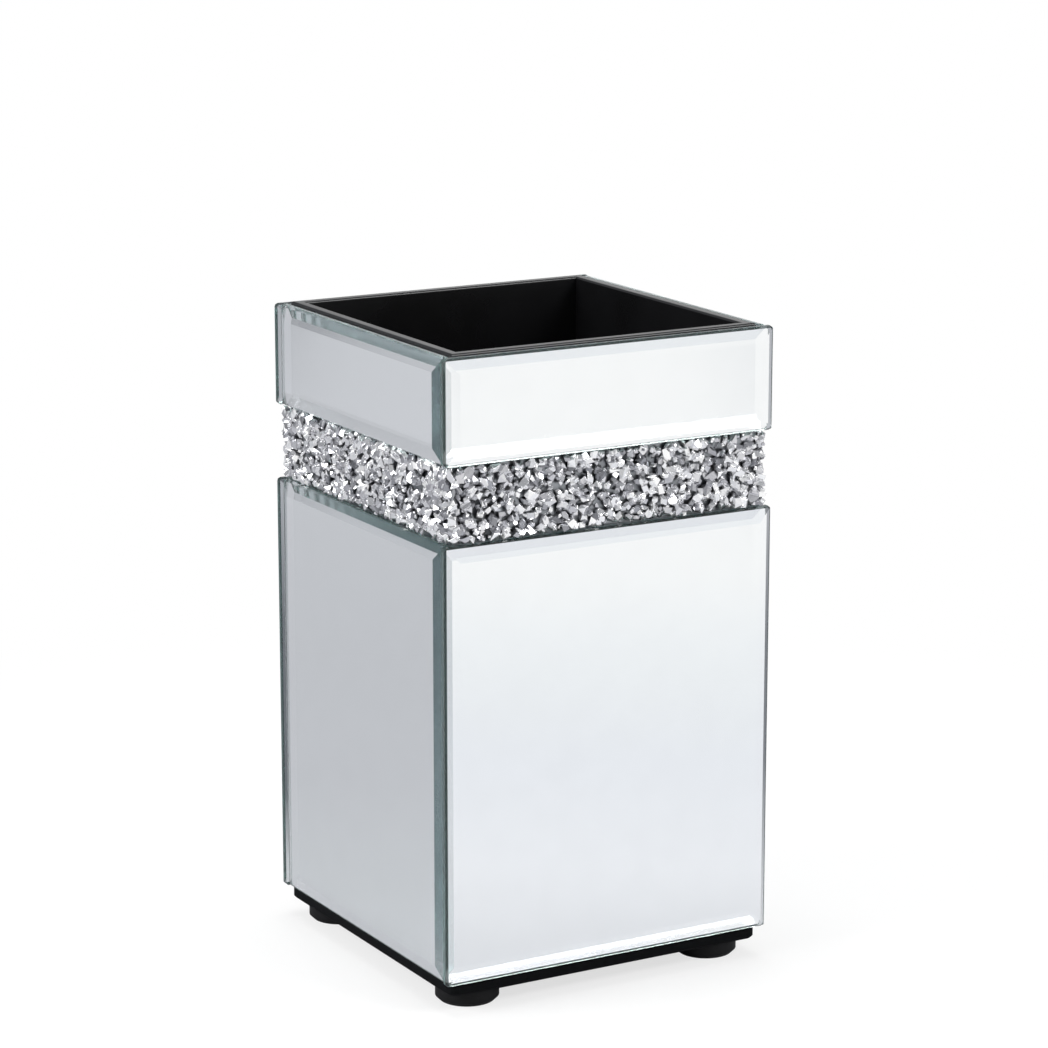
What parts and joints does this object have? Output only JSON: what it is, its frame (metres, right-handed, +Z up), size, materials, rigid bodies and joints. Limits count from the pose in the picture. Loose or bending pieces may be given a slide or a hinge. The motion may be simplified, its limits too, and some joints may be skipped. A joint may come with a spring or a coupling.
{
  "type": "makeup brush holder",
  "caption": "Tall square open-topped brush holder: black boards faced with bevelled mirrors, with a recessed band of crushed silvered glass, on a plinth with round rubber feet.",
  "frame": {"origin": "middle of the footprint, on the surface that the feet stand on", "axes": "+Z up, -Y towards the front face, +X to the right of someone who faces the front"},
  "size_m": [0.1, 0.1, 0.1767],
  "materials": {
    "mirror_glass": "silvered float glass, 3 mm, polished with a ground bevel",
    "crushed_glass": "crushed silvered glass chips",
    "silvered_card": "card faced with silver foil",
    "black_lacquer": "fibreboard with satin black lacquer",
    "black_felt": "pressed felt",
    "black_foam": "double-sided foam tape",
    "zinc_steel": "zinc plated",
    "black_rubber": "moulded rubber"
  },
  "bodies": {
    "root": {"band_backing_back": "silvered_card", "band_backing_front": "silvered_card", "band_backing_left": "silvered_card", "band_backing_right": "silvered_card", "body_mirror_back": "mirror_glass", "body_mirror_front": "mirror_glass", "body_mirror_left": "mirror_glass", "body_mirror_right": "mirror_glass", "brads": "zinc_steel", "collar_mirror_back": "mirror_glass", "collar_mirror_front": "mirror_glass", "collar_mirror_left": "mirror_glass", "collar_mirror_right": "mirror_glass", "crystals_back": "crushed_glass", "crystals_front": "crushed_glass", "crystals_left": "crushed_glass", "crystals_right": "crushed_glass", "felt_lining": "black_felt", "floor_board": "black_lacquer", "foam_tape_back": "black_foam", "foam_tape_front": "black_foam", "foam_tape_left": "black_foam", "foam_tape_right": "black_foam", "foot_back_left": "black_rubber", "foot_back_right": "black_rubber", "foot_front_left": "black_rubber", "foot_front_right": "black_rubber", "foot_screws": "zinc_steel", "plinth": "black_lacquer", "wall_back": "black_lacquer", "wall_front": "black_lacquer", "wall_left": "black_lacquer", "wall_right": "black_lacquer"}
  },
  "joints": []
}
